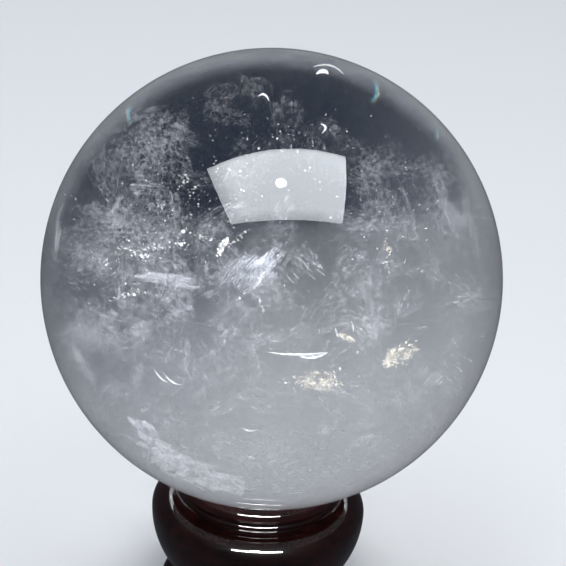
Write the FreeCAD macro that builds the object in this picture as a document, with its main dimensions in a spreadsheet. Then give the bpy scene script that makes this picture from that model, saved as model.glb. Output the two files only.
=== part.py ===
import FreeCAD, Part
import os
import Sketcher

# A polished quartz ball on a small turned rosewood stand. Millimetres, +Z up.
# The origin is the centre of the underside of the base felt, on the table.
# The stand is three turned pieces (cup collar, belly, foot) drawn together by one
# central screw from below. A loose felt ring in the cup carries the ball.

doc = FreeCAD.newDocument("crystal_ball_on_stand")

# Driving dimensions. Heights are above the table, radii are from the Z axis.
DIMENSIONS = [
    ("ball_radius", 50.0),
    ("ball_centre_height", 81.0),
    # base felt
    ("felt_radius", 20.2),
    ("felt_thickness", 0.8),
    # turned foot
    ("foot_root_radius", 20.7),
    ("foot_round", 1.75),
    ("foot_edge_top", 3.8),
    ("foot_cove_radius", 19.9),
    ("foot_cove_round", 3.2),
    ("foot_top", 7.2),
    ("waist_radius", 17.4),
    ("waist_height", 6.6),
    ("tenon_radius", 9.0),
    ("tenon_depth", 2.0),
    ("glue_gap", 0.1),
    # turned belly
    ("belly_start_radius", 18.6),
    ("belly_round", 21.0),
    ("belly_radius", 24.2),
    ("belly_widest_height", 22.9),
    ("shoulder_round", 4.0),
    ("recess_radius", 19.5),
    ("recess_floor", 25.4),
    ("socket_depth", 5.1),
    # cup collar
    ("collar_radius", 19.2),
    ("ledge_height", 26.2),
    ("ledge_cove_round", 2.4),
    ("bead_root_radius", 17.1),
    ("bead_bottom", 26.65),
    ("bead_top", 28.45),
    ("bead_round", 0.95),
    ("neck_radius", 16.4),
    ("neck_bottom", 28.8),
    ("neck_round", 1.6),
    ("lip_root_radius", 18.5),
    ("lip_bottom", 29.85),
    ("lip_crest", 32.6),
    ("lip_round", 1.45),
    ("lip_inner_radius", 17.0),
    ("dish_clearance", 1.2),
    ("well_clearance", 1.6),
    # loose seat ring and its rebate
    ("seat_inner_radius", 11.05),
    ("seat_outer_radius", 13.95),
    ("seat_side_gap", 0.15),
    ("seat_floor", 30.0),
    ("seat_under_gap", 0.1),
    ("seat_ball_gap", 0.15),
    # centre screw and its washer
    ("washer_radius", 4.8),
    ("washer_thickness", 0.4),
    ("washer_hole_radius", 2.15),
    ("screw_seat_height", 3.3),
    ("counterbore_radius", 5.2),
    ("head_radius", 3.6),
    ("head_height", 1.7),
    ("head_round", 3.9),
    ("slot_width", 0.9),
    ("slot_depth", 0.8),
    ("slot_overrun", 1.0),
    ("shank_radius", 1.9),
    ("shank_top", 13.0),
    ("thread_core_radius", 1.35),
    ("thread_pitch", 1.5),
    ("tip_height", 26.9),
    ("clearance_hole_radius", 2.1),
    ("pilot_hole_radius", 1.95),
    ("pilot_hole_top", 27.6),
    ("pilot_hole_cone", 0.8),
]

# The thread: how many ridges, and where in each pitch its root and its crest lie.
THREAD_RIDGES = 8
THREAD_ROOT_AT = 0.35
THREAD_CREST_AT = 0.8
THREAD_END_AT = 0.1

# Two lengths closer than this are the same, in millimetres.
TOLERANCE = 1e-6

sheet = doc.addObject("Spreadsheet::Sheet", "Dims")
for row, (alias, value) in enumerate(DIMENSIONS, start=1):
    sheet.set(f"A{row}", alias)
    sheet.set(f"B{row}", str(value))
    sheet.setAlias(f"B{row}", alias)
doc.recompute()


def number(expression):
    """The value of an expression over the sheet, in plain millimetres."""
    value = sheet.evalExpression(expression)
    return float(getattr(value, "Value", value))


def dim(text):
    """The text with each <alias> in it written as a reference to the sheet."""
    for alias, _ in DIMENSIONS:
        text = text.replace(f"<{alias}>", f"Dims.{alias}")
    return text


def origin_plane(body, role):
    return next(item for item in body.Origin.OriginFeatures if item.Role == role)


def arc_through(start, end, radius):
    """The shorter arc from start to end. A positive radius bulges to the right of
    the direction of travel, a negative one to the left."""
    first = FreeCAD.Vector(start[0], start[1], 0)
    last = FreeCAD.Vector(end[0], end[1], 0)
    chord = last - first
    right = FreeCAD.Vector(chord.y, -chord.x, 0).normalize()
    half = chord.Length / 2
    to_centre = (radius ** 2 - half ** 2) ** 0.5
    side = 1 if radius > 0 else -1
    crown = (first + last) / 2 + right * side * (abs(radius) - to_centre)
    return Part.Arc(first, crown, last)


def place_point(sketch, edge, vertex, radius, height):
    """Tie a vertex of the profile to the sheet, or to an axis where its value is 0."""
    for kind, axis, expression in (("DistanceX", -2, radius), ("DistanceY", -1, height)):
        value = number(expression)
        if abs(value) < TOLERANCE:
            sketch.addConstraint(Sketcher.Constraint("PointOnObject", edge, vertex, axis))
            continue
        index = sketch.addConstraint(Sketcher.Constraint(kind, edge, vertex, value))
        sketch.setExpression(f"Constraints[{index}]", expression)


def turned(label, outline):
    """A turned piece: a closed profile spun about Z.

    The outline lists (radius, height) or (radius, height, round) as expressions. The
    third value is the radius of the arc that runs from this point to the next one."""
    body = doc.addObject("PartDesign::Body", label)
    body.Label = label
    sketch = body.newObject("Sketcher::SketchObject", f"{label}_profile")
    sketch.AttachmentSupport = [(origin_plane(body, "XZ_Plane"), "")]
    sketch.MapMode = "FlatFace"

    points = [[dim(text) for text in point] for point in outline]
    places = [(number(point[0]), number(point[1])) for point in points]
    count = len(points)
    for index, point in enumerate(points):
        start = places[index]
        end = places[(index + 1) % count]
        if len(point) > 2:
            arc = arc_through(start, end, number(point[2]))
            sketch.addGeometry(arc, False)
        else:
            line = Part.LineSegment(FreeCAD.Vector(*start, 0), FreeCAD.Vector(*end, 0))
            sketch.addGeometry(line, False)

    # An arc's own first vertex is where it starts anticlockwise about its centre.
    def ends(index):
        forward = True
        if len(points[index]) > 2:
            first = sketch.getPoint(index, 1)
            miss = abs(first.x - places[index][0]) + abs(first.y - places[index][1])
            forward = miss < TOLERANCE
        return (1, 2) if forward else (2, 1)

    for index in range(count):
        following = (index + 1) % count
        last_vertex = ends(index)[1]
        next_vertex = ends(following)[0]
        joint = Sketcher.Constraint("Coincident", index, last_vertex, following, next_vertex)
        sketch.addConstraint(joint)
    for index, point in enumerate(points):
        place_point(sketch, index, ends(index)[0], point[0], point[1])
        if len(point) > 2:
            radius = f"abs({point[2]})"
            constraint = Sketcher.Constraint("Radius", index, number(radius))
            sketch.setExpression(f"Constraints[{sketch.addConstraint(constraint)}]", radius)

    spin = body.newObject("PartDesign::Revolution", f"{label}_spin")
    spin.Profile = sketch
    spin.ReferenceAxis = (sketch, ["V_Axis"])
    spin.Angle = 360
    body.Placement = FreeCAD.Placement()
    doc.recompute()
    return body


def on_ball(clearance, radius):
    """Height, at a radius from the axis, of the underside of a sphere that is
    concentric with the ball and larger by the clearance."""
    sphere = f"(<ball_radius> + {clearance})"
    return f"<ball_centre_height> - sqrt({sphere} ^ 2 - ({radius}) ^ 2)"


def make_ball():
    ball = doc.addObject("Part::Sphere", "crystal_ball")
    ball.Label = "crystal_ball"
    ball.setExpression("Radius", "Dims.ball_radius")
    ball.setExpression(".Placement.Base.z", "Dims.ball_centre_height")
    return ball


def make_seat_ring():
    return turned("seat_ring", [
        ("<seat_inner_radius>", "<seat_floor> + <seat_under_gap>"),
        ("<seat_outer_radius>", "<seat_floor> + <seat_under_gap>"),
        ("<seat_outer_radius>", on_ball("<seat_ball_gap>", "<seat_outer_radius>"),
         "-(<ball_radius> + <seat_ball_gap>)"),
        ("<seat_inner_radius>", on_ball("<seat_ball_gap>", "<seat_inner_radius>")),
    ])


def make_cup_collar():
    rebate_outer = "<seat_outer_radius> + <seat_side_gap>"
    rebate_inner = "<seat_inner_radius> - <seat_side_gap>"
    spigot_bottom = "<recess_floor> + <glue_gap> - <socket_depth>"
    return turned("cup_collar", [
        # spigot that goes down into the belly
        ("<pilot_hole_radius>", spigot_bottom),
        ("<tenon_radius>", spigot_bottom),
        ("<tenon_radius>", "<recess_floor>"),
        # flange, with a shallow cove up to the bead
        ("<collar_radius>", "<recess_floor>"),
        ("<collar_radius>", "<ledge_height>", "-<ledge_cove_round>"),
        ("<bead_root_radius>", "<bead_bottom>", "<bead_round>"),
        ("<bead_root_radius>", "<bead_top>"),
        ("<neck_radius>", "<neck_bottom>", "-<neck_round>"),
        # rounded lip, and the dish that follows the ball
        ("<lip_root_radius>", "<lip_bottom>", "<lip_round>"),
        ("<lip_root_radius>", "<lip_crest>"),
        ("<lip_inner_radius>", on_ball("<dish_clearance>", "<lip_inner_radius>"),
         "-(<ball_radius> + <dish_clearance>)"),
        (rebate_outer, on_ball("<dish_clearance>", rebate_outer)),
        (rebate_outer, "<seat_floor>"),
        (rebate_inner, "<seat_floor>"),
        (rebate_inner, on_ball("<well_clearance>", rebate_inner),
         "-(<ball_radius> + <well_clearance>)"),
        ("0", on_ball("<well_clearance>", "0")),
        # blind pilot hole for the screw
        ("0", "<pilot_hole_top>"),
        ("<pilot_hole_radius>", "<pilot_hole_top> - <pilot_hole_cone>"),
    ])


def make_stand_belly():
    flank = "(<belly_start_radius> - <belly_radius> + <belly_round>)"
    belly_start = f"<belly_widest_height> - sqrt(<belly_round> ^ 2 - {flank} ^ 2)"
    reach = "(<recess_radius> - <belly_radius> + <shoulder_round>)"
    shoulder_end = f"<belly_widest_height> + sqrt(<shoulder_round> ^ 2 - {reach} ^ 2)"
    return turned("stand_belly", [
        # tenon that goes down into the foot
        ("<clearance_hole_radius>", "<foot_top> - <tenon_depth>"),
        ("<tenon_radius>", "<foot_top> - <tenon_depth>"),
        ("<tenon_radius>", "<foot_top>"),
        # full belly under a rounded shoulder
        ("<waist_radius>", "<foot_top>"),
        ("<belly_start_radius>", belly_start, "<belly_round>"),
        ("<belly_radius>", "<belly_widest_height>", "<shoulder_round>"),
        ("<recess_radius>", shoulder_end),
        # recess and socket for the cup collar
        ("<recess_radius>", "<recess_floor>"),
        ("<tenon_radius> + <glue_gap>", "<recess_floor>"),
        ("<tenon_radius> + <glue_gap>", "<recess_floor> - <socket_depth>"),
        ("<clearance_hole_radius>", "<recess_floor> - <socket_depth>"),
    ])


def make_stand_foot():
    socket_floor = "<foot_top> - <tenon_depth> - <glue_gap>"
    return turned("stand_foot", [
        ("<counterbore_radius>", "<felt_thickness>"),
        # rounded edge, step and cove up to the waist
        ("<foot_root_radius>", "<felt_thickness>", "<foot_round>"),
        ("<foot_root_radius>", "<foot_edge_top>"),
        ("<foot_cove_radius>", "<foot_edge_top>", "-<foot_cove_round>"),
        ("<waist_radius>", "<waist_height>"),
        ("<waist_radius>", "<foot_top>"),
        # socket for the belly's tenon, screw hole and counterbore
        ("<tenon_radius> + <glue_gap>", "<foot_top>"),
        ("<tenon_radius> + <glue_gap>", socket_floor),
        ("<clearance_hole_radius>", socket_floor),
        ("<clearance_hole_radius>", "<screw_seat_height>"),
        ("<counterbore_radius>", "<screw_seat_height>"),
    ])


def make_centre_screw():
    head_top = "<screw_seat_height> - <washer_thickness>"
    profile = [
        ("0", f"{head_top} - <head_height>", "<head_round>"),
        ("<head_radius>", head_top),
        ("<shank_radius>", head_top),
        ("<shank_radius>", "<shank_top>"),
    ]
    # each ridge of the thread stands out from the core
    for ridge in range(THREAD_RIDGES):
        root = f"<shank_top> + <thread_pitch> * {ridge + THREAD_ROOT_AT}"
        crest = f"<shank_top> + <thread_pitch> * {ridge + THREAD_CREST_AT}"
        profile.append(("<thread_core_radius>", root))
        profile.append(("<shank_radius>", crest))
    last = f"<shank_top> + <thread_pitch> * {THREAD_RIDGES + THREAD_END_AT}"
    profile.append(("<thread_core_radius>", last))
    profile.append(("0", "<tip_height>"))
    body = turned("centre_screw", profile)

    # screwdriver slot across the head, cut upwards from its crown
    slot = body.newObject("Sketcher::SketchObject", "centre_screw_slot_outline")
    slot.AttachmentSupport = [(origin_plane(body, "XY_Plane"), "")]
    slot.MapMode = "FlatFace"
    slot.setExpression(".AttachmentOffset.Base.z", dim(f"{head_top} - <head_height>"))
    slot_length = dim("2 * (<head_radius> + <slot_overrun>)")
    x, y = number(slot_length) / 2, number("Dims.slot_width") / 2
    corners = [(-x, -y), (x, -y), (x, y), (-x, y)]
    sides = len(corners)
    for index, corner in enumerate(corners):
        start = FreeCAD.Vector(*corner, 0)
        end = FreeCAD.Vector(*corners[(index + 1) % sides], 0)
        slot.addGeometry(Part.LineSegment(start, end), False)
    for index in range(sides):
        following = (index + 1) % sides
        slot.addConstraint(Sketcher.Constraint("Coincident", index, 2, following, 1))
    for index, kind in enumerate(("Horizontal", "Vertical", "Horizontal", "Vertical")):
        slot.addConstraint(Sketcher.Constraint(kind, index))
    slot.addConstraint(Sketcher.Constraint("Symmetric", 0, 1, 1, 2, -1, 1))
    width = slot.addConstraint(Sketcher.Constraint("DistanceY", 1, 1, 1, 2, 2 * y))
    slot.setExpression(f"Constraints[{width}]", "Dims.slot_width")
    length = slot.addConstraint(Sketcher.Constraint("DistanceX", 0, 1, 0, 2, 2 * x))
    slot.setExpression(f"Constraints[{length}]", slot_length)

    cut = body.newObject("PartDesign::Pocket", "centre_screw_slot")
    cut.Profile = slot
    cut.setExpression("Length", "Dims.slot_depth")
    cut.Reversed = True
    doc.recompute()
    return body


def make_screw_washer():
    top = "<screw_seat_height>"
    return turned("screw_washer", [
        ("<washer_hole_radius>", f"{top} - <washer_thickness>"),
        ("<washer_radius>", f"{top} - <washer_thickness>"),
        ("<washer_radius>", top),
        ("<washer_hole_radius>", top),
    ])


def make_base_felt():
    felt = doc.addObject("Part::Cylinder", "base_felt")
    felt.Label = "base_felt"
    felt.setExpression("Radius", "Dims.felt_radius")
    felt.setExpression("Height", "Dims.felt_thickness")
    felt.Placement = FreeCAD.Placement()
    return felt


pieces = [
    make_ball(),
    make_seat_ring(),
    make_cup_collar(),
    make_stand_belly(),
    make_stand_foot(),
    make_centre_screw(),
    make_screw_washer(),
    make_base_felt(),
]

doc.recompute()
for item in doc.Objects:
    if "Invalid" in item.State or "Error" in item.State:
        raise RuntimeError(f"{item.Label} did not recompute: {item.State}")
for piece in pieces:
    if piece.Shape.isNull() or not piece.Shape.isValid():
        raise RuntimeError(f"{piece.Label} has no valid shape")

os.makedirs("parts", exist_ok=True)
for piece in pieces:
    piece.Shape.exportStep(f"parts/{piece.Label}.step")
    box = piece.Shape.optimalBoundingBox()
    print(f"{piece.Label}: {piece.Shape.Volume:.1f} mm3, z {box.ZMin:.2f} to {box.ZMax:.2f}, "
          f"width {box.XLength:.2f}, solids {len(piece.Shape.Solids)}")
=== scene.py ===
# A crystal ball of natural quartz on a turned rosewood stand, in metres.
import math
import random

import bmesh
import bpy
from mathutils import Matrix, Vector, noise


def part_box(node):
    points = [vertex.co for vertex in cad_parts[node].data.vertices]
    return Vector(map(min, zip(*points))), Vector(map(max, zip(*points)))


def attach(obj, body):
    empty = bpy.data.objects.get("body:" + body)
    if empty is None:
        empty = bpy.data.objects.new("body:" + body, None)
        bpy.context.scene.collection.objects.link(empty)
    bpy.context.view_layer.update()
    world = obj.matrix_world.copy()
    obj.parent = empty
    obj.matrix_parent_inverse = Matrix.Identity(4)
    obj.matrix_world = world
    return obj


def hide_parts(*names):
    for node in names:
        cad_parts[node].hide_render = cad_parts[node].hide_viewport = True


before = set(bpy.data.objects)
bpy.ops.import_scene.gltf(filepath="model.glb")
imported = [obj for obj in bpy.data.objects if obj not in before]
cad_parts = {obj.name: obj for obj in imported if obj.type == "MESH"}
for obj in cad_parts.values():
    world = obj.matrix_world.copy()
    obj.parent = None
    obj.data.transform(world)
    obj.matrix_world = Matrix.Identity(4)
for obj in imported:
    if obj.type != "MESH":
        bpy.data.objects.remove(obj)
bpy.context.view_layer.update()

# ---------------------------------------------------------------- the ball's own frame
BALL_LOW, BALL_HIGH = (Vector(corner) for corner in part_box("crystal_ball"))
CENTRE = (BALL_LOW + BALL_HIGH) / 2
RADIUS = (BALL_HIGH.z - BALL_LOW.z) / 2
QUARTZ_IOR = 1.544
CLEAR_DENSITY = 0.01    # of the haze in the clearest part

# The stone is described as it faces the viewer: x to the right, y up, z towards the
# viewer, in ball radii from the centre.
TIP = math.radians(27)      # how far down the viewer looks
LEAN = math.radians(3.6)    # how far the viewer leans to the side
OUTWARD = Vector((0, -math.cos(TIP), math.sin(TIP)))
LEVEL_UP = Vector((0, math.sin(TIP), math.cos(TIP)))
LEVEL_RIGHT = Vector((1, 0, 0))
UP = LEVEL_UP * math.cos(LEAN) - LEVEL_RIGHT * math.sin(LEAN)
RIGHT = LEVEL_RIGHT * math.cos(LEAN) + LEVEL_UP * math.sin(LEAN)
STONE = Matrix((RIGHT, UP, OUTWARD)).transposed()


def in_stone(x, y, z):
    """A point given in the stone's frame, in metres."""
    return CENTRE + STONE @ Vector((x, y, z)) * RADIUS


def behind(u, v, depth):
    """The point in the stone that shows at (u, v) on its face, after refraction.

    depth is 0 at the front skin and 1 at the back skin, along the bent ray."""
    reach = math.hypot(u, v)
    if reach < 1e-6:
        return Vector((0, 0, 1 - 2 * depth))
    turn = math.asin(reach) - math.asin(reach / QUARTZ_IOR)
    chord = 2 * math.sqrt(1 - (reach / QUARTZ_IOR) ** 2)
    out = reach - depth * chord * math.sin(turn)
    near = math.sqrt(1 - reach ** 2) - depth * chord * math.cos(turn)
    return Vector((u / reach * out, v / reach * out, near))


# ---------------------------------------------------------------- small helpers
def new_piece(name, points, faces, material, body, smooth=True):
    mesh = bpy.data.meshes.new(name)
    mesh.from_pydata([tuple(point) for point in points], [], faces)
    mesh.validate()
    mesh.materials.append(material)
    for polygon in mesh.polygons:
        polygon.use_smooth = smooth
    mesh.update()
    piece = bpy.data.objects.new(name, mesh)
    bpy.context.scene.collection.objects.link(piece)
    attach(piece, body)
    return piece


def grid_faces(columns, rows, first=0):
    """Quads over a grid of points that was filled row by row."""
    faces = []
    for row in range(rows):
        for column in range(columns):
            low = first + row * (columns + 1) + column
            faces.append((low, low + 1, low + columns + 2, low + columns + 1))
    return faces


class Nodes:
    """A new material and short ways to add nodes to it."""

    def __init__(self, name):
        self.material = bpy.data.materials.new(name)
        self.material.use_nodes = True
        self.tree = self.material.node_tree
        self.tree.nodes.clear()
        self.output = self.tree.nodes.new("ShaderNodeOutputMaterial")

    def add(self, kind, settings=None, **inputs):
        node = self.tree.nodes.new(kind)
        for key, value in (settings or {}).items():
            setattr(node, key, value)
        for key, value in inputs.items():
            self.feed(node, key.replace("_", " "), value)
        return node

    def feed(self, node, socket, value):
        target = node.inputs[socket]
        if isinstance(value, bpy.types.NodeSocket):
            self.tree.links.new(value, target)
        else:
            target.default_value = value

    def maths(self, operation, first, second=0.0, clamp=False):
        node = self.tree.nodes.new("ShaderNodeMath")
        node.operation = operation
        node.use_clamp = clamp
        for index, value in enumerate((first, second)):
            if isinstance(value, bpy.types.NodeSocket):
                self.tree.links.new(value, node.inputs[index])
            else:
                node.inputs[index].default_value = value
        return node.outputs[0]

    def place(self):
        """Where a point of the ball is, in the stone's frame, in ball radii."""
        coordinates = self.add("ShaderNodeTexCoord").outputs["Object"]
        mapping = self.add("ShaderNodeMapping", {"vector_type": "TEXTURE"})
        self.feed(mapping, "Vector", coordinates)
        mapping.inputs["Location"].default_value = CENTRE
        mapping.inputs["Rotation"].default_value = STONE.to_euler()
        mapping.inputs["Scale"].default_value = (RADIUS, RADIUS, RADIUS)
        return mapping.outputs[0]

    def stretched(self, vector, scale, turn=(0, 0, 0)):
        mapping = self.add("ShaderNodeMapping")
        self.feed(mapping, "Vector", vector)
        mapping.inputs["Scale"].default_value = scale
        mapping.inputs["Rotation"].default_value = turn
        return mapping.outputs[0]

    def noise(self, vector, scale, detail=4.0, roughness=0.55, distortion=0.0):
        node = self.add("ShaderNodeTexNoise", Vector=vector, Scale=scale, Detail=detail,
                        Roughness=roughness, Distortion=distortion)
        return node.outputs["Fac"]

    def remap(self, value, low, high, to_low=0.0, to_high=1.0):
        """A smooth step from to_low at low to to_high at high."""
        node = self.add("ShaderNodeMapRange", {"interpolation_type": "SMOOTHSTEP"}, Value=value)
        node.inputs["From Min"].default_value = low
        node.inputs["From Max"].default_value = high
        node.inputs["To Min"].default_value = to_low
        node.inputs["To Max"].default_value = to_high
        return node.outputs[0]

    def blend(self, factor, first, second):
        node = self.add("ShaderNodeMix", {"data_type": "RGBA"})
        self.tree.links.new(factor, node.inputs["Factor"])
        for socket, value in (("A", first), ("B", second)):
            target = next(i for i in node.inputs if i.name == socket and i.type == "RGBA")
            if isinstance(value, bpy.types.NodeSocket):
                self.tree.links.new(value, target)
            else:
                target.default_value = (*value, 1)
        return next(o for o in node.outputs if o.type == "RGBA")

    def axes(self, vector):
        return self.add("ShaderNodeSeparateXYZ", Vector=vector).outputs

    def mixed(self, factor, first, second):
        """The first shader where factor is 0, the second where it is 1."""
        mix = self.add("ShaderNodeMixShader")
        self.feed(mix, 0, factor)
        self.tree.links.new(first.outputs[0], mix.inputs[1])
        self.tree.links.new(second.outputs[0], mix.inputs[2])
        return mix

    def bumped(self, height, strength, distance):
        bump = self.add("ShaderNodeBump", Height=height)
        bump.inputs["Strength"].default_value = strength
        bump.inputs["Distance"].default_value = distance
        return bump.outputs[0]

    def finished(self, shader):
        """The material, with this shader as its surface."""
        self.tree.links.new(shader.outputs[0], self.output.inputs["Surface"])
        return self.material


# ---------------------------------------------------------------- materials of the stone
def quartz_skin():
    """Polished quartz. Lamps shine straight through it, so the inside is lit."""
    made = Nodes("polished_quartz")
    glass = made.add("ShaderNodeBsdfPrincipled")
    glass.inputs["Base Color"].default_value = (0.97, 0.98, 1.0, 1)
    glass.inputs["Roughness"].default_value = 0.0
    glass.inputs["IOR"].default_value = QUARTZ_IOR
    open_to_lamps = made.add("ShaderNodeBsdfTransparent")
    path = made.add("ShaderNodeLightPath")
    skin = made.mixed(path.outputs["Is Shadow Ray"], glass, open_to_lamps)

    place = made.place()
    x, y, z = made.axes(place)
    swirl = made.maths("SUBTRACT", made.noise(place, 1.7, 5.0, 0.6, 0.5), 0.5)
    height = made.maths("ADD", y, made.maths("MULTIPLY", swirl, 0.5))
    haze = made.noise(place, 6.0, 6.0, 0.65, 0.3)
    grit = made.noise(made.stretched(place, (1, 1.7, 1), (0, 0, 0.5)), 17.0, 9.0, 0.74, 0.7)

    # just under the skin the lower half is cloudy, with a fine uneven grain
    grain = made.remap(grit, 0.36, 0.66, 0.15, 0.33)
    cloudy = made.maths("MULTIPLY", made.remap(height, 0.12, -0.80), grain)
    made.tree.links.new(made.maths("SUBTRACT", 1.0, cloudy), glass.inputs["Transmission Weight"])

    # milk that thickens downwards, thinner on the left
    thinner = made.maths("MULTIPLY", made.remap(x, 0.10, -0.55), made.remap(y, -0.80, -0.25))
    kept = made.maths("SUBTRACT", 1.0, made.maths("MULTIPLY", thinner, 0.55))
    milk = made.maths("MULTIPLY", made.remap(height, 0.18, -0.95), made.remap(haze, 0.3, 0.7, 0.8, 1.2))
    milk = made.maths("MULTIPLY", milk, kept)
    # the cloud reaches up the back of the ball to a ragged edge, which the ball magnifies
    ragged = made.maths("ADD", y, made.maths("MULTIPLY", made.maths("SUBTRACT", haze, 0.5), 0.16))
    wall = made.maths("MULTIPLY", made.remap(z, -0.80, -0.93), made.remap(ragged, 0.120, 0.075))
    wall = made.maths("MULTIPLY", wall, made.remap(x, -0.15, 0.03, 0.30, 1.0))
    left = made.maths("MULTIPLY", made.remap(x, -0.25, -0.75), made.remap(y, 0.80, 0.35))
    left = made.maths("MULTIPLY", left, made.remap(haze, 0.45, 0.62))
    right = made.maths("MULTIPLY", made.remap(x, 0.10, 0.75), made.remap(y, 0.85, 0.10))
    # a pale ring round the upper half, strongest at the top
    flat = made.stretched(place, (1, 1, 0))
    around = made.add("ShaderNodeVectorMath", {"operation": "LENGTH"}, Vector=flat)
    ring = made.maths("MULTIPLY", made.remap(around.outputs["Value"], 0.84, 0.93),
                      made.remap(y, 0.05, 0.40))
    ring = made.maths("MULTIPLY", ring, made.remap(haze, 0.35, 0.6, 0.5, 1.0))
    ring = made.maths("MULTIPLY", ring, made.remap(y, 0.35, 0.85, 0.5, 1.7))
    density = CLEAR_DENSITY
    for share, strength in ((milk, 18.0), (wall, 65.0), (left, 5.0), (right, 4.0), (ring, 75.0)):
        density = made.maths("ADD", density, made.maths("MULTIPLY", share, strength))
    cloud = made.add("ShaderNodeVolumeScatter")
    cloud.inputs["Color"].default_value = (0.82, 0.87, 0.97, 1)
    cloud.inputs["Anisotropy"].default_value = -0.25
    made.tree.links.new(density, cloud.inputs["Density"])
    made.tree.links.new(cloud.outputs[0], made.output.inputs["Volume"])
    return made.finished(skin)


# ---------------------------------------------------------------- materials of the stand
GRAIN_TURN = (0.1, 0.05, 0.4)
LACQUER_ROUGHNESS = 0.015


def lacquered_wood(name, dark, light):
    """Turned wood with fine grain and dark pores under a clear gloss coat."""
    made = Nodes(name)
    place = made.add("ShaderNodeTexCoord").outputs["Object"]
    along = made.stretched(place, (60, 420, 420), GRAIN_TURN)
    grain = made.noise(along, 1.0, 8.0, 0.65, 0.6)
    pores = made.noise(made.stretched(place, (250, 2600, 2600), GRAIN_TURN), 1.0, 3.0, 0.5)
    tone = made.remap(grain, 0.25, 0.75)
    colour = made.blend(tone, dark, light)
    colour = made.blend(made.remap(pores, 0.62, 0.72), colour, tuple(c * 0.25 for c in dark))
    skin = made.add("ShaderNodeBsdfPrincipled")
    made.tree.links.new(colour, skin.inputs["Base Color"])
    made.tree.links.new(made.remap(grain, 0.3, 0.7, 0.32, 0.5), skin.inputs["Roughness"])
    skin.inputs["Specular IOR Level"].default_value = 0.02
    skin.inputs["Coat Weight"].default_value = 1.0
    skin.inputs["Coat Roughness"].default_value = LACQUER_ROUGHNESS
    skin.inputs["Coat IOR"].default_value = 1.52
    ripple = made.noise(place, 420.0, 2.0, 0.5)
    made.tree.links.new(made.bumped(ripple, 0.015, 0.0004), skin.inputs["Coat Normal"])
    return made.finished(skin)


def felt(name, dark, light):
    """Pressed wool: tangled fibres in uneven clumps."""
    made = Nodes(name)
    place = made.add("ShaderNodeTexCoord").outputs["Object"]
    fibres = made.noise(place, 2600.0, 6.0, 0.75, 1.2)
    clumps = made.noise(place, 500.0, 3.0, 0.6)
    tone = made.maths("MULTIPLY", made.remap(fibres, 0.3, 0.7), made.remap(clumps, 0.2, 0.8, 0.5, 1.0))
    skin = made.add("ShaderNodeBsdfPrincipled")
    made.tree.links.new(made.blend(tone, dark, light), skin.inputs["Base Color"])
    skin.inputs["Roughness"].default_value = 0.95
    skin.inputs["Sheen Weight"].default_value = 0.35
    made.tree.links.new(made.bumped(fibres, 0.5, 0.0003), skin.inputs["Normal"])
    return made.finished(skin)


def metal(name, colour, roughness):
    """Bare metal with fine turning marks."""
    made = Nodes(name)
    place = made.add("ShaderNodeTexCoord").outputs["Object"]
    scratches = made.noise(made.stretched(place, (300, 300, 6000)), 1.0, 4.0, 0.6)
    skin = made.add("ShaderNodeBsdfPrincipled")
    worn = tuple(c * 0.6 for c in colour)
    made.tree.links.new(made.blend(made.remap(scratches, 0.3, 0.7), worn, colour),
                        skin.inputs["Base Color"])
    skin.inputs["Metallic"].default_value = 1.0
    made.tree.links.new(made.remap(scratches, 0.3, 0.7, roughness, roughness + 0.2),
                        skin.inputs["Roughness"])
    return made.finished(skin)


# ---------------------------------------------------------------- the ball
def make_ball():
    """The polished sphere."""
    shell = bmesh.new()
    bmesh.ops.create_icosphere(shell, subdivisions=7, radius=RADIUS)
    bmesh.ops.translate(shell, verts=shell.verts, vec=CENTRE)
    mesh = bpy.data.meshes.new("quartz_ball")
    shell.to_mesh(mesh)
    shell.free()
    for polygon in mesh.polygons:
        polygon.use_smooth = True
    mesh.materials.append(quartz_skin())
    ball = bpy.data.objects.new("quartz_ball", mesh)
    bpy.context.scene.collection.objects.link(ball)
    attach(ball, "ball")
    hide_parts("crystal_ball")
    return ball


# ---------------------------------------------------------------- what is in the stone
def veil_material(name, colour, grain, low, high, most, detail=8.0):
    """A sheet of tiny bubbles: light scatters both ways, and the gaps are clear.

    grain is how many times finer the pattern is along and across the sheet. It is clear
    where the pattern is below low, and most is how solid it gets above high."""
    made = Nodes(name)
    cloth = made.add("ShaderNodeAttribute", {"attribute_name": "weave"}).outputs["Vector"]
    pattern = made.noise(made.stretched(cloth, (*grain, 1)), 1.0, detail, 0.68, 0.5)
    fade = made.add("ShaderNodeAttribute", {"attribute_name": "fade"}).outputs["Fac"]
    bite = made.maths("SUBTRACT", 1.0, fade)
    worn = made.maths("SUBTRACT", pattern, made.maths("MULTIPLY", bite, 0.22))
    share = made.maths("MULTIPLY", made.remap(worn, low, high, 0.0, most), fade, True)
    scatter = made.add("ShaderNodeBsdfDiffuse")
    through = made.add("ShaderNodeBsdfTranslucent")
    for shader in (scatter, through):
        shader.inputs["Color"].default_value = (*colour, 1)
    both = made.mixed(0.5, scatter, through)
    return made.finished(made.mixed(share, made.add("ShaderNodeBsdfTransparent"), both))


def flake_material(name, colour, roughness, silver):
    """A bright fracture face, also used for painted highlights. silver is how metallic it looks."""
    made = Nodes(name)
    place = made.place()
    skin = made.add("ShaderNodeBsdfPrincipled")
    tone = made.noise(place, 60.0, 2.0)
    dull = tuple(c * 0.7 for c in colour)
    made.tree.links.new(made.blend(made.remap(tone, 0.4, 0.6), dull, colour),
                        skin.inputs["Base Color"])
    skin.inputs["Roughness"].default_value = roughness
    skin.inputs["Metallic"].default_value = silver
    return made.finished(skin)


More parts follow.
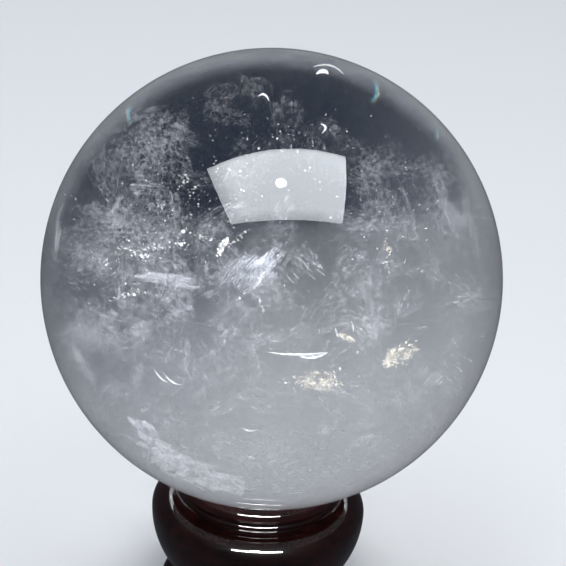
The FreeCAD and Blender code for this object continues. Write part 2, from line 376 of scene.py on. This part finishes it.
def dispersion_fringe_material():
    """Painted light: coloured bands that stand in for the fringes where refraction splits light, blue
    on one side, warm on the other.
    """
    made = Nodes("painted_dispersion_fringe")
    cloth = made.add("ShaderNodeAttribute", {"attribute_name": "weave"}).outputs["Vector"]
    fade = made.add("ShaderNodeAttribute", {"attribute_name": "fade"}).outputs["Fac"]
    band = made.axes(cloth)[1]
    cool = made.blend(made.remap(band, -1.0, -0.1), (0.10, 0.30, 1.0), (0.25, 0.95, 1.0))
    colour = made.blend(made.remap(band, -0.1, 0.9), cool, (1.0, 0.55, 0.18))
    scatter = made.add("ShaderNodeBsdfDiffuse")
    made.tree.links.new(colour, scatter.inputs["Color"])
    clear = made.add("ShaderNodeBsdfTransparent")
    return made.finished(made.mixed(made.maths("MULTIPLY", fade, 0.25), clear, scatter))


RAINBOW_BANDS = (-1, -0.5, 0, 0.5, 1)


def make_rainbows(name, material, crescents, steps=18):
    """Crescents: centre, radius, start and end angle in degrees, width, depth."""
    points, faces, weave, fades = [], [], [], []
    for centre, radius, start, end, width, depth in crescents:
        first = len(points)
        for step in range(steps + 1):
            s = step / steps
            angle = math.radians(start + (end - start) * s)
            for band in RAINBOW_BANDS:
                reach = radius + band * width / 2
                u, v = centre[0] + reach * math.cos(angle), centre[1] + reach * math.sin(angle)
                points.append(in_stone(*behind(u, v, depth)))
                weave.append((s, band, 0))
                fades.append(math.sin(math.pi * s) ** 0.8 * (1 - abs(band)) ** 0.6)
        faces += grid_faces(len(RAINBOW_BANDS) - 1, steps, first)
    return sheet_piece(name, material, points, faces, weave, fades)


WIDEST = 0.985              # how near the ball's outline a sheet may come, in radii
DEPTHS = (0.02, 0.97)       # and how near the front and the back skin


def sheet_grid(centre, along, across, depth, lean, ripple, seed, steps):
    """Grid points of a curved sheet inside the stone, with its weave and how solid it is.

    centre, along and across are given on the ball's face, depth and its lean behind it."""
    points, weave, fades = [], [], []
    columns, rows = steps
    length, width = math.hypot(*along), math.hypot(*across)
    for row in range(rows + 1):
        for column in range(columns + 1):
            s = 2 * column / columns - 1
            t = 2 * row / rows - 1
            u = centre[0] + s * along[0] + t * across[0]
            v = centre[1] + s * along[1] + t * across[1]
            reach = math.hypot(u, v)
            if reach > WIDEST:
                u, v = u * WIDEST / reach, v * WIDEST / reach
            wave = noise.noise(Vector((s * 1.3, t * 1.3, seed * 7.3)))
            deep = depth + lean[0] * s + lean[1] * t + ripple * wave
            spot = behind(u, v, min(max(deep, DEPTHS[0]), DEPTHS[1]))
            points.append(in_stone(*spot))
            weave.append((s * length + seed * 3.7, t * width + seed * 1.9, seed))
            ragged = 0.35 * noise.noise(Vector((s * 2, t * 2, seed)))
            rim = 1 - min(1.0, math.hypot(s, t) + ragged)
            fades.append(min(1.0, rim * 2.2))
    return points, grid_faces(columns, rows), weave, fades


def make_sheets(name, material, sheets):
    """Several curved sheets of one kind as one piece."""
    points, faces, weave, fades = [], [], [], []
    for sheet in sheets:
        more_points, more_faces, more_weave, more_fades = sheet_grid(*sheet)
        base = len(points)
        points += more_points
        weave += more_weave
        fades += more_fades
        faces += [tuple(index + base for index in face) for face in more_faces]
    return sheet_piece(name, material, points, faces, weave, fades)


def sheet_piece(name, material, points, faces, weave, fades):
    """A piece whose points carry how solid they are and their place in the pattern."""
    piece = new_piece(name, points, faces, material, "ball")
    solidity = piece.data.attributes.new("fade", "FLOAT", "POINT")
    solidity.data.foreach_set("value", fades)
    cloth = piece.data.attributes.new("weave", "FLOAT_VECTOR", "POINT")
    cloth.data.foreach_set("vector", [value for place in weave for value in place])
    return piece


def make_flakes(name, material, clusters, seed):
    """Small bright splinters. Each cluster: centre, half-axes, depths, number, size."""
    draw = random.Random(seed)
    points, faces = [], []
    for centre, along, across, depths, number, size in clusters:
        for _ in range(number):
            s, t = draw.gauss(0, 0.45), draw.gauss(0, 0.45)
            u = centre[0] + s * along[0] + t * across[0]
            v = centre[1] + s * along[1] + t * across[1]
            if math.hypot(u, v) > 0.97:
                continue
            spot = behind(u, v, draw.uniform(*depths))
            facing = Vector((draw.gauss(0, 0.5), draw.gauss(0.35, 0.5), 1)).normalized()
            side = facing.orthogonal().normalized()
            other = facing.cross(side)
            turn = draw.uniform(0, math.pi)
            half = size * draw.uniform(0.35, 1.0) ** 1.5
            sides = draw.choice((4, 5, 6))
            thin = draw.uniform(0.12, 0.6)
            first = len(points)
            for corner in range(sides):
                angle = 2 * math.pi * corner / sides + draw.uniform(-0.3, 0.3)
                reach = half * draw.uniform(0.6, 1.1)
                a, b = math.cos(angle) * reach, math.sin(angle) * reach * thin
                a, b = (a * math.cos(turn) - b * math.sin(turn),
                        a * math.sin(turn) + b * math.cos(turn))
                points.append(in_stone(*(spot + side * a + other * b)))
            faces.append(tuple(range(first, first + sides)))
    return new_piece(name, points, faces, material, "ball", smooth=False)


def make_slivers(name, material, slivers, steps=14):
    """Thin bright arcs. Each: start, crown and end on the ball's face, depth, width."""
    points, faces = [], []
    for start, crown, end, depth, width in slivers:
        a, c, b = Vector((*start, 0)), Vector((*crown, 0)), Vector((*end, 0))
        pull = c * 2 - (a + b) / 2
        first = len(points)
        for step in range(steps + 1):
            t = step / steps
            middle = a * (1 - t) ** 2 + pull * 2 * t * (1 - t) + b * t * t
            heading = (pull - a) * 2 * (1 - t) + (b - pull) * 2 * t
            across = Vector((-heading.y, heading.x, 0)).normalized()
            half = width * 0.5 * math.sin(math.pi * min(max(t, 0.04), 0.96)) ** 0.7
            for side in (-half, half):
                edge = middle + across * side
                points.append(in_stone(*behind(edge.x, edge.y, depth + side * 0.5)))
        for step in range(steps):
            low = first + 2 * step
            faces.append((low, low + 1, low + 3, low + 2))
    return new_piece(name, points, faces, material, "ball")


def scattered_sheets(zone, number, size, depths, seed):
    """Many small overlapping sheets that fill a zone of the stone.

    zone is low u, high u, low v, high v; size is the smallest and largest half-length."""
    draw = random.Random(seed)
    sheets = []
    while len(sheets) < number:
        u, v = draw.uniform(zone[0], zone[1]), draw.uniform(zone[2], zone[3])
        if math.hypot(u, v) > 0.93:
            continue
        angle = draw.uniform(0, math.pi)
        length = draw.uniform(*size)
        width = length * draw.uniform(0.35, 0.8)
        along = (length * math.cos(angle), length * math.sin(angle))
        across = (-width * math.sin(angle), width * math.cos(angle))
        lean = (draw.uniform(-0.08, 0.08), draw.uniform(-0.08, 0.08))
        sheets.append(((u, v), along, across, draw.uniform(*depths), lean, 0.05,
                       draw.uniform(0, 9), (14, 10)))
    return sheets


WHITE = (0.90, 0.93, 1.0)
TAN = (0.97, 0.92, 0.80)


def make_inclusions():
    """Everything that shows inside the stone, as pieces that ride on the ball."""
    made = []
    feather = veil_material("feather_fracture", WHITE, (34, 150), 0.36, 0.64, 0.95)
    made += [make_sheets("feather_fracture", feather, [
        ((-0.10, 0.02), (0.075, 0.100), (0.150, -0.030), 0.34, (0.02, 0.10), 0.04, 1.0, (40, 50)),
        ((-0.03, 0.05), (0.085, 0.105), (0.035, -0.030), 0.31, (0.02, 0.05), 0.03, 2.0, (40, 24)),
        ((0.01, 0.06), (0.075, 0.095), (0.012, -0.010), 0.30, (0.02, 0.03), 0.02, 2.6, (40, 12)),
    ])]
    smooth = veil_material("lens_cloud", WHITE, (9, 30), 0.15, 0.75, 0.42, 5.0)
    made += [make_sheets("lens_cloud", smooth, [
        ((-0.45, 0.002), (0.175, -0.010), (0.004, 0.030), 0.40, (0.02, 0.03), 0.01, 3.0, (36, 16)),
        ((-0.36, -0.030), (0.10, -0.010), (0.004, 0.014), 0.40, (0.02, 0.03), 0.01, 4.0, (30, 12)),
    ])]
    mottle = veil_material("mottled_veil", WHITE, (44, 60), 0.42, 0.68, 0.16)
    made += [make_sheets("mottled_veils_left", mottle,
                scattered_sheets((-0.95, -0.45, -0.25, 0.62), 36, (0.12, 0.28), (0.1, 0.7), 11)
                + scattered_sheets((-0.80, 0.05, -0.40, 0.30), 46, (0.12, 0.26), (0.1, 0.7), 12))]
    made += [make_sheets("mottled_veils_right", mottle,
                scattered_sheets((0.30, 0.93, -0.20, 0.60), 32, (0.12, 0.26), (0.1, 0.7), 13)
                + scattered_sheets((-0.60, 0.65, 0.45, 0.92), 12, (0.10, 0.24), (0.2, 0.9), 14))]
    fibre = veil_material("fibrous_veil", WHITE, (20, 110), 0.46, 0.70, 0.38)
    made += [make_sheets("fibrous_veils", fibre,
                scattered_sheets((-0.90, 0.20, -0.45, 0.50), 40, (0.05, 0.13), (0.08, 0.5), 15)
                + scattered_sheets((-0.60, 0.85, -0.80, 0.10), 60, (0.05, 0.14), (0.04, 0.16), 16))]
    low = veil_material("low_wisps", WHITE, (20, 60), 0.44, 0.68, 0.18)
    made += [make_sheets("low_wisps", low,
                scattered_sheets((-0.85, 0.80, -0.93, -0.05), 90, (0.06, 0.18), (0.03, 0.12), 17))]
    cloudy = veil_material("bottom_cloud", WHITE, (26, 34), 0.30, 0.66, 0.9, 6.0)
    made += [make_sheets("bottom_cloud", cloudy, [
        ((-0.34, -0.79), (0.22, -0.075), (0.04, 0.085), 0.05, (0.01, 0.02), 0.02, 5.0, (40, 24)),
        ((-0.46, -0.70), (0.14, -0.07), (0.03, 0.060), 0.05, (0.01, 0.02), 0.02, 6.0, (30, 20)),
        ((-0.20, -0.85), (0.17, -0.03), (0.01, 0.060), 0.05, (0.01, 0.02), 0.02, 7.0, (30, 16)),
        ((-0.52, -0.62), (0.08, -0.06), (0.02, 0.040), 0.06, (0.01, 0.02), 0.02, 7.5, (30, 16)),
    ])]
    streak = veil_material("streak_veil", WHITE, (6, 34), 0.34, 0.66, 0.28)
    made += [make_sheets("streak_veils", streak, [
        ((0.56, 0.28), (0.045, -0.14), (0.028, 0.01), 0.20, (0.03, 0.02), 0.01, 8.0, (30, 10)),
        ((0.74, 0.30), (0.10, -0.22), (0.04, 0.02), 0.25, (0.05, 0.03), 0.02, 9.0, (30, 10)),
        ((0.84, 0.20), (0.05, -0.22), (0.03, 0.01), 0.25, (0.05, 0.03), 0.02, 10.0, (30, 10)),
        ((0.47, 0.08), (0.012, -0.07), (0.02, 0.0), 0.25, (0.02, 0.02), 0.01, 10.5, (20, 8)),
        ((-0.64, 0.30), (0.035, 0.055), (0.010, -0.006), 0.22, (0.01, 0.01), 0.01, 17.0, (20, 8)),
        ((-0.585, 0.29), (0.018, 0.03), (0.007, -0.004), 0.22, (0.01, 0.01), 0.01, 18.0, (20, 8)),
        ((-0.90, 0.20), (0.01, 0.16), (0.03, 0.0), 0.25, (0.02, 0.02), 0.02, 19.0, (30, 10)),
        ((-0.78, -0.36), (0.06, -0.10), (0.03, 0.02), 0.15, (0.02, 0.02), 0.02, 20.0, (30, 10)),
    ])]
    tan = veil_material("iron_stained_fracture", TAN, (34, 44), 0.40, 0.60, 0.8)
    made += [make_sheets("iron_stained_fractures", tan, [
        ((0.19, -0.41), (0.13, -0.02), (0.02, 0.055), 0.06, (0.01, 0.02), 0.02, 12.0, (34, 20)),
        ((0.515, -0.31), (0.10, 0.045), (-0.01, 0.055), 0.06, (0.01, 0.02), 0.02, 13.0, (34, 20)),
        ((0.30, -0.235), (0.06, -0.03), (0.01, 0.02), 0.07, (0.01, 0.01), 0.02, 14.0, (24, 12)),
        ((0.475, 0.13), (0.02, -0.035), (0.02, 0.005), 0.22, (0.02, 0.02), 0.02, 15.0, (16, 10)),
    ])]
    bright = flake_material("bright_fracture_face_and_painted_glint", (0.80, 0.82, 0.86), 0.4, 0.2)
    made += [make_slivers("crack_edges", bright, [
        ((-0.01, -0.290), (0.10, -0.300), (0.215, -0.292), 0.05, 0.007),
        ((0.10, -0.300), (0.165, -0.310), (0.225, -0.292), 0.05, 0.015),
    ])]
    made += [make_slivers("arc_glints", bright, [
        # these two low arcs are painted highlights: the lamp seen reflected inside the stone
        ((-0.115, -0.598), (-0.090, -0.610), (-0.055, -0.606), 0.04, 0.008),
        ((-0.110, -0.712), (-0.085, -0.724), (-0.062, -0.730), 0.04, 0.008),
        ((-0.055, 0.762), (-0.030, 0.770), (-0.010, 0.742), 0.30, 0.009),
        ((0.205, 0.646), (0.225, 0.630), (0.210, 0.606), 0.30, 0.010),
        # this arc and the next are a painted highlight: the softbox seen reflected inside the stone
        ((0.177, 0.885), (0.247, 0.895), (0.300, 0.855), 0.10, 0.010),
        ((0.187, 0.850), (0.217, 0.865), (0.237, 0.850), 0.10, 0.022),
        ((0.255, -0.195), (0.262, -0.215), (0.266, -0.235), 0.05, 0.008),
        ((0.32, -0.17), (0.327, -0.19), (0.33, -0.215), 0.05, 0.008),
        ((-0.43, -0.375), (-0.40, -0.41), (-0.36, -0.425), 0.05, 0.007),
        ((-0.47, -0.36), (-0.44, -0.40), (-0.41, -0.415), 0.05, 0.006),
    ])]
    # painted dispersion fringes: coloured crescents for light that refraction splits into colours near
    # the top of the stone
    made += [make_rainbows("painted_dispersion_fringes", dispersion_fringe_material(), [
        ((0.36, 0.80), 0.085, 35, -50, 0.030, 0.25),
        ((-0.52, 0.70), 0.085, 150, 215, 0.030, 0.25),
        ((0.63, 0.62), 0.07, 30, -30, 0.022, 0.25),
    ])]
    sparkle = flake_material("sparkling_flake", (1.0, 1.0, 1.0), 0.3, 0.45)
    made += [make_flakes("sparkling_flakes", sparkle, [
        # the bright flake, and the strings of sparks on both sides of it
        ((-0.200, 0.140), (0.016, 0.030), (0.016, -0.004), (0.30, 0.34), 60, 0.011),
        ((-0.215, 0.105), (0.010, 0.030), (0.008, -0.002), (0.30, 0.34), 24, 0.009),
        ((-0.375, 0.190), (0.020, 0.014), (0.004, 0.008), (0.30, 0.36), 14, 0.009),
        ((-0.375, 0.145), (0.028, 0.004), (0.004, 0.012), (0.30, 0.36), 22, 0.008),
        ((-0.29, 0.175), (0.05, -0.01), (0.0, 0.012), (0.28, 0.40), 26, 0.006),
        ((-0.11, 0.19), (0.035, 0.02), (0.0, 0.008), (0.28, 0.40), 14, 0.006),
        ((-0.15, 0.155), (0.04, 0.02), (0.0, 0.008), (0.28, 0.40), 12, 0.006),
        ((-0.52, 0.13), (0.13, 0.02), (0.0, 0.02), (0.25, 0.45), 70, 0.0055),
        ((-0.54, 0.10), (0.05, -0.02), (0.0, 0.015), (0.25, 0.45), 40, 0.007),
        ((-0.62, 0.13), (0.05, -0.01), (0.0, 0.03), (0.25, 0.45), 30, 0.005),
        ((-0.70, 0.08), (0.02, 0.01), (0.0, 0.02), (0.25, 0.45), 12, 0.006),
        ((-0.62, -0.07), (0.07, 0.015), (0.0, 0.012), (0.30, 0.45), 40, 0.006),
        ((-0.52, -0.06), (0.04, 0.02), (0.0, 0.012), (0.30, 0.45), 18, 0.005),
        ((-0.37, 0.41), (0.02, 0.06), (0.01, 0.0), (0.25, 0.5), 34, 0.0045),
        ((-0.33, 0.37), (0.03, 0.01), (0.01, 0.01), (0.25, 0.5), 14, 0.0045),
        ((-0.47, 0.31), (0.01, 0.05), (0.01, 0.0), (0.25, 0.5), 18, 0.005),
        # the spine of the feather
        ((-0.045, 0.00), (0.035, 0.050), (0.010, -0.008), (0.30, 0.36), 90, 0.0065),
        ((0.00, 0.06), (0.04, 0.06), (0.008, -0.006), (0.30, 0.36), 60, 0.0045),
        ((-0.05, -0.10), (0.03, -0.06), (0.01, 0.01), (0.3, 0.5), 40, 0.0045),
        ((-0.12, -0.07), (0.04, 0.02), (0.01, 0.02), (0.3, 0.5), 30, 0.0045),
        # dust all through the stone
        ((0.55, 0.30), (0.35, 0.0), (0.0, 0.35), (0.05, 0.8), 300, 0.0034),
        ((-0.50, 0.15), (0.45, 0.0), (0.0, 0.50), (0.05, 0.8), 700, 0.0034),
        ((0.0, 0.55), (0.60, 0.0), (0.0, 0.30), (0.05, 0.9), 320, 0.0034),
        ((0.0, -0.35), (0.80, 0.0), (0.0, 0.50), (0.02, 0.12), 1000, 0.0036),
    ], 21)]
    warm = flake_material("tan_flake", (1.0, 0.95, 0.84), 0.4, 0.2)
    made += [make_flakes("tan_flakes", warm, [
        ((0.19, -0.41), (0.12, -0.01), (0.01, 0.04), (0.04, 0.07), 190, 0.0075),
        ((0.27, -0.36), (0.02, 0.01), (0.01, 0.02), (0.05, 0.08), 20, 0.0080),
        ((0.52, -0.30), (0.08, 0.035), (-0.01, 0.05), (0.04, 0.07), 170, 0.0075),
        ((0.33, -0.27), (0.07, -0.03), (0.01, 0.02), (0.05, 0.08), 30, 0.0060),
        ((0.34, -0.21), (0.02, -0.03), (0.01, 0.02), (0.05, 0.08), 14, 0.0060),
        ((0.475, 0.12), (0.012, -0.04), (0.012, 0.0), (0.18, 0.26), 14, 0.008),
        ((0.48, 0.03), (0.006, -0.04), (0.006, 0.0), (0.18, 0.26), 14, 0.004),
        ((0.62, 0.03), (0.08, -0.03), (0.01, 0.02), (0.2, 0.3), 14, 0.005),
    ], 22)]
    return made


# ---------------------------------------------------------------- felt
AROUND = 240                # steps round a felt piece
FIBRES = 5000
FIBRE_HALF = 0.000012       # half a fibre's width


def felt_lathe(name, node, body, material, outline, fuzz, seed):
    """A felt piece spun from its outline, with an uneven nap and loose fibres.

    The nap only sinks in from the outline, so the piece stays in its CAD solid.
    fuzz is how deep it sinks and how long a fibre is."""
    draw = random.Random(seed)
    middle = Vector((sum(r for r, _ in outline), sum(z for _, z in outline))) / len(outline)
    lowest, highest = min(z for _, z in outline), max(z for _, z in outline)
    points, faces = [], []
    for step in range(AROUND):
        angle = 2 * math.pi * step / AROUND
        for radius, height in outline:
            inward = (middle - Vector((radius, height))).normalized()
            sample = Vector((math.cos(angle) * radius, math.sin(angle) * radius, height))
            nap = 0.5 * noise.noise(sample * 900) + 0.4 * noise.noise(sample * 3000)
            sink = max(fuzz * (0.5 + nap), 0)
            r, z = radius + inward.x * sink, height + inward.y * sink
            points.append((r * math.cos(angle), r * math.sin(angle), z))
    count = len(outline)
    for step in range(AROUND):
        for index in range(count):
            a = step * count + index
            b = step * count + (index + 1) % count
            c = ((step + 1) % AROUND) * count + (index + 1) % count
            d = ((step + 1) % AROUND) * count + index
            faces.append((a, d, c, b))
    for _ in range(FIBRES):
        root = Vector(points[draw.randrange(len(points))])
        out = Vector((root.x, root.y, 0)).normalized() * (math.hypot(root.x, root.y) - middle.x)
        out = (out + Vector((0, 0, root.z - middle.y))).normalized()
        lean = Vector((draw.gauss(0, 1), draw.gauss(0, 1), draw.gauss(0, 1))).normalized()
        tip = root + (out * 0.25 + lean).normalized() * fuzz * draw.uniform(0.5, 1.1)
        tip.z = min(max(tip.z, lowest), highest)
        wide = lean.cross(out).normalized() * FIBRE_HALF
        first = len(points)
        points += [root - wide, root + wide, tip]
        faces.append((first, first + 1, first + 2))
    piece = new_piece(name, points, faces, material, body)
    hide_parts(node)


def rounded(corners, round_off, steps=5):
    """The closed outline with each corner replaced by a small arc, in (radius, height)."""
    outline = []
    for index, corner in enumerate(corners):
        here = Vector(corner)
        before, after = Vector(corners[index - 1]), Vector(corners[(index + 1) % len(corners)])
        back = here + (before - here).normalized() * min(round_off, (before - here).length * 0.45)
        on = here + (after - here).normalized() * min(round_off, (after - here).length * 0.45)
        for step in range(steps + 1):
            t = step / steps
            outline.append(tuple(back * (1 - t) ** 2 + here * 2 * t * (1 - t) + on * t * t))
    return outline


def make_felts():
    """The ring under the ball, dished to fit it, and the pad under the foot."""
    low, high = (Vector(corner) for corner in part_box("seat_ring"))
    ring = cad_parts["seat_ring"].data
    inner = min(math.hypot(point.co.x, point.co.y) for point in ring.vertices)
    outer = high.x
    sphere = math.hypot(outer, CENTRE.z - high.z)
    top = []
    dish_steps = 8
    for step in range(dish_steps + 1):
        radius = outer + (inner - outer) * step / dish_steps
        top.append((radius, CENTRE.z - math.sqrt(sphere ** 2 - radius ** 2)))
    corners = [(inner, low.z), (outer, low.z)] + top
    wool = felt("seat_felt_wool", (0.02, 0.008, 0.009), (0.09, 0.035, 0.038))
    felt_lathe("seat_ring_felt", "seat_ring", "seat", wool,
               rounded(corners, 0.0003), 0.0001, 31)

    low, high = (Vector(corner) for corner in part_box("base_felt"))
    edge = high.x
    middle_hole = 0.0002    # too small to see; it keeps the pad from closing in a point
    columns = 5
    under = [(edge * step / columns, low.z) for step in range(1, columns + 1)]
    over = [(edge * step / columns, high.z) for step in range(columns, 0, -1)]
    corners = [(middle_hole, low.z)] + under + over + [(middle_hole, high.z)]
    wool = felt("base_felt_wool", (0.012, 0.015, 0.013), (0.05, 0.058, 0.052))
    felt_lathe("base_felt_pad", "base_felt", "stand", wool,
               rounded(corners, 0.00015), 0.00008, 32)


# ---------------------------------------------------------------- stage, lights, camera
FLOOR_HALF = 4.0


def make_floor():
    """The pale floor. The ball and the lacquer don't mirror it or show it through."""
    made = Nodes("pale_floor")
    shade = made.add("ShaderNodeBsdfDiffuse")
    shade.inputs["Color"].default_value = (0.62, 0.63, 0.65, 1)
    mesh = bpy.data.meshes.new("floor")
    corners = [(x * FLOOR_HALF, y * FLOOR_HALF, 0) for x, y in ((-1, -1), (1, -1), (1, 1), (-1, 1))]
    mesh.from_pydata(corners, [], [(0, 1, 2, 3)])
    mesh.materials.append(made.finished(shade))
    floor = bpy.data.objects.new("floor", mesh)
    bpy.context.scene.collection.objects.link(floor)
    floor.visible_transmission = False
    floor.visible_glossy = False
    return floor


def lights_only(lamp, kinds):
    """Only these kinds of ray see the lamp."""
    for kind in ("camera", "diffuse", "glossy", "transmission", "volume_scatter"):
        setattr(lamp, f"visible_{kind}", kind in kinds)


def area_light(name, direction, distance, width, height, watts, kinds,
               tint=(1, 1, 1), shape="RECTANGLE"):
    """A lamp that faces the ball. direction is in the stone's frame."""
    data = bpy.data.lights.new(name, "AREA")
    data.shape = shape
    data.size = width
    data.size_y = height
    data.energy = watts
    data.color = tint
    lamp = bpy.data.objects.new(name, data)
    away = (STONE @ Vector(direction)).normalized()
    side = (RIGHT - away * RIGHT.dot(away)).normalized()
    upward = away.cross(side)
    turn = Matrix((side, upward, away)).transposed().to_4x4()
    lamp.matrix_world = Matrix.Translation(CENTRE + away * distance) @ turn
    bpy.context.scene.collection.objects.link(lamp)
    lights_only(lamp, kinds)
    return lamp


# the corners of the lit panel that the ball mirrors, as directions in the stone's frame
PANEL_LOW = (Vector((-0.355, 0.485, 0.985)), Vector((0.635, 0.49, 0.88)))
PANEL_TOP = (Vector((-0.525, 0.895, 0.55)), Vector((0.575, 0.95, 0.38)))
PANEL_STRENGTH = 14.0
PANEL_STEPS = 24


def make_softbox(distance):
    """The lit cloth panel that the ball mirrors, dimmer towards its edges."""
    made = Nodes("softbox_cloth")
    lit = made.add("ShaderNodeAttribute", {"attribute_name": "lit"}).outputs["Fac"]
    glow = made.add("ShaderNodeEmission", Strength=made.maths("MULTIPLY", lit, PANEL_STRENGTH))
    glow.inputs["Color"].default_value = (0.90, 0.95, 1.0, 1)
    points, strengths = [], []
    for row in range(PANEL_STEPS + 1):
        for column in range(PANEL_STEPS + 1):
            s, t = column / PANEL_STEPS, row / PANEL_STEPS
            low = PANEL_LOW[0].lerp(PANEL_LOW[1], s)
            high = PANEL_TOP[0].lerp(PANEL_TOP[1], s)
            points.append(CENTRE + STONE @ low.lerp(high, t) * distance)
            edge = min(1.0, s / 0.16, t / 0.16, (1 - t) / 0.05)
            strengths.append((0.55 + 0.45 * edge) * (0.86 + 0.14 * t))
    mesh = bpy.data.meshes.new("softbox")
    mesh.from_pydata(points, [], grid_faces(PANEL_STEPS, PANEL_STEPS))
    mesh.materials.append(made.finished(glow))
    mesh.attributes.new("lit", "FLOAT", "POINT").data.foreach_set("value", strengths)
    panel = bpy.data.objects.new("softbox", mesh)
    bpy.context.scene.collection.objects.link(panel)
    for kind in ("camera", "diffuse", "volume_scatter", "shadow"):
        setattr(panel, f"visible_{kind}", False)
    return panel


def group_of(name, pieces):
    group = bpy.data.collections.new(name)
    for piece in pieces:
        group.objects.link(piece)
    return group


# where the lamps stand, as directions in the stone's frame
SOFTBOX = (0.0868, 0.7626, 0.6419)
HOT_SPOT = (0.0727, 0.710, 0.700)
LOW_FRONT = (-0.1, -0.45, 0.85)
LOW_BAR = (0.05, 0.309, 0.951)
LOW_SPOT = (0.03, 0.375, 0.927)
FAR = 0.8                   # about how far; the softbox ones differ, so none hides another
WIDE, TALL = 1.1 * FAR, 0.7 * FAR
COOL = (0.93, 0.96, 1.0)
WOODEN = ("cup_collar", "stand_belly", "stand_foot")


def make_lights(floor, ball, inclusions):
    """The softbox that the ball mirrors, and lamps that each light one kind of thing."""
    softbox = make_softbox(FAR)
    softbox.light_linking.receiver_collection = group_of("mirror", [ball])
    area_light("hot_spot", HOT_SPOT, FAR - 0.03, 0.065, 0.065, 0.17, ("glossy",), shape="DISK")
    area_light("key", SOFTBOX, FAR + 0.02, WIDE, TALL, 7, ("diffuse",))
    area_light("glow", SOFTBOX, FAR + 0.04, WIDE, TALL, 11.8, ("volume_scatter",), COOL)
    area_light("low_glow", LOW_FRONT, FAR, 0.5, 0.3, 8, ("volume_scatter",), COOL)

    # bright lines on the wood, from a bar and a spot that the ball doesn't shade
    wood = [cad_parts[node] for node in WOODEN]
    turned_wood = group_of("turned_wood", wood)
    foot_only = group_of("foot_only", wood[-1:])
    edges = area_light("stand_shine", LOW_BAR, FAR + 0.06, 0.9 * FAR, 0.14 * FAR, 40, ("glossy",))
    bulb = area_light("stand_spot", LOW_SPOT, FAR + 0.05, 0.2 * FAR, 0.2 * FAR, 12, ("glossy",),
                      shape="DISK")
    for lamp in (edges, bulb):
        lamp.light_linking.receiver_collection = turned_wood
        lamp.light_linking.blocker_collection = foot_only

    # lamps that only the inclusions catch
    both = ("diffuse", "glossy")
    sparks = area_light("inclusion_light", SOFTBOX, FAR + 0.08, WIDE, TALL, 12, both)
    low_sparks = area_light("low_inclusion_light", LOW_FRONT, FAR, 0.5, 0.3, 5, both)
    caught = group_of("inclusions", inclusions)
    for lamp in (sparks, low_sparks):
        lamp.light_linking.receiver_collection = caught

    even = bpy.data.objects.new("floor_fill", bpy.data.lights.new("floor_fill", "SUN"))
    even.data.energy = 1.3
    even.data.angle = math.radians(60)
    even.data.color = COOL
    bpy.context.scene.collection.objects.link(even)
    lights_only(even, ("diffuse",))
    even.light_linking.receiver_collection = group_of("floor_only", [floor])


# the room's colour and strength, first for any ray and then for one kind at a time
ROOM = (
    (None, (0.75, 0.8, 0.9), 0.35),
    ("Is Glossy Ray", (0.06, 0.066, 0.078), 1.0),
    ("Is Transmission Ray", (0.017, 0.025, 0.040), 1.0),
    ("Is Camera Ray", (0.62, 0.65, 0.69), 1.0),
)


def make_room():
    """Even light all round: pale behind the floor, dark through the quartz."""
    world = bpy.data.worlds.new("studio")
    world.use_nodes = True
    tree = world.node_tree
    tree.nodes.clear()
    path = tree.nodes.new("ShaderNodeLightPath")
    seen = None
    for ray, colour, strength in ROOM:
        light = tree.nodes.new("ShaderNodeBackground")
        light.inputs["Color"].default_value = (*colour, 1)
        light.inputs["Strength"].default_value = strength
        if ray is None:
            seen = light
            continue
        mix = tree.nodes.new("ShaderNodeMixShader")
        tree.links.new(path.outputs[ray], mix.inputs[0])
        tree.links.new(seen.outputs[0], mix.inputs[1])
        tree.links.new(light.outputs[0], mix.inputs[2])
        seen = mix
    output = tree.nodes.new("ShaderNodeOutputWorld")
    tree.links.new(seen.outputs[0], output.inputs["Surface"])
    bpy.context.scene.world = world
    world.cycles_visibility.scatter = False


VIEW_DISTANCE = 10          # ball radii
AIM_RIGHT, AIM_DOWN = 0.049, 0.017


def make_camera():
    """The viewer stands off a little, looks down, and leans a little."""
    data = bpy.data.cameras.new("camera")
    data.lens = 146.4
    data.sensor_width = 36.0
    data.clip_start = 0.01
    camera = bpy.data.objects.new("camera", data)
    aim = CENTRE + (RIGHT * AIM_RIGHT - UP * AIM_DOWN) * RADIUS
    turn = Matrix((RIGHT, UP, OUTWARD)).transposed().to_4x4()
    camera.matrix_world = Matrix.Translation(aim + OUTWARD * VIEW_DISTANCE * RADIUS) @ turn
    bpy.context.scene.collection.objects.link(camera)
    bpy.context.scene.camera = camera


def finish_cad_nodes():
    """Materials for the pieces that keep their CAD shape."""
    # the collar gets a redder copy of the same lacquer: painted light, for the glow that the ball
    # throws down on the lip
    red = lacquered_wood("rosewood_lacquer_painted_ball_glow", (0.008, 0.0015, 0.002), (0.036, 0.005, 0.005))
    dark = lacquered_wood("rosewood_dark_lacquer", (0.004, 0.001, 0.001), (0.020, 0.004, 0.003))
    finishes = {
        "cup_collar": red,
        "stand_belly": dark,
        "stand_foot": dark,
        "centre_screw": metal("turned_brass", (0.72, 0.53, 0.26), 0.25),
        "screw_washer": metal("stamped_steel", (0.6, 0.61, 0.63), 0.3),
    }
    for node, material in finishes.items():
        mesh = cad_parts[node].data
        mesh.materials.clear()
        mesh.materials.append(material)


make_camera()
make_lights(make_floor(), make_ball(), make_inclusions())
make_room()
make_felts()
finish_cad_nodes()
bpy.context.scene.cycles.transparent_max_bounces = 24
bpy.context.scene.view_settings.view_transform = "Standard"
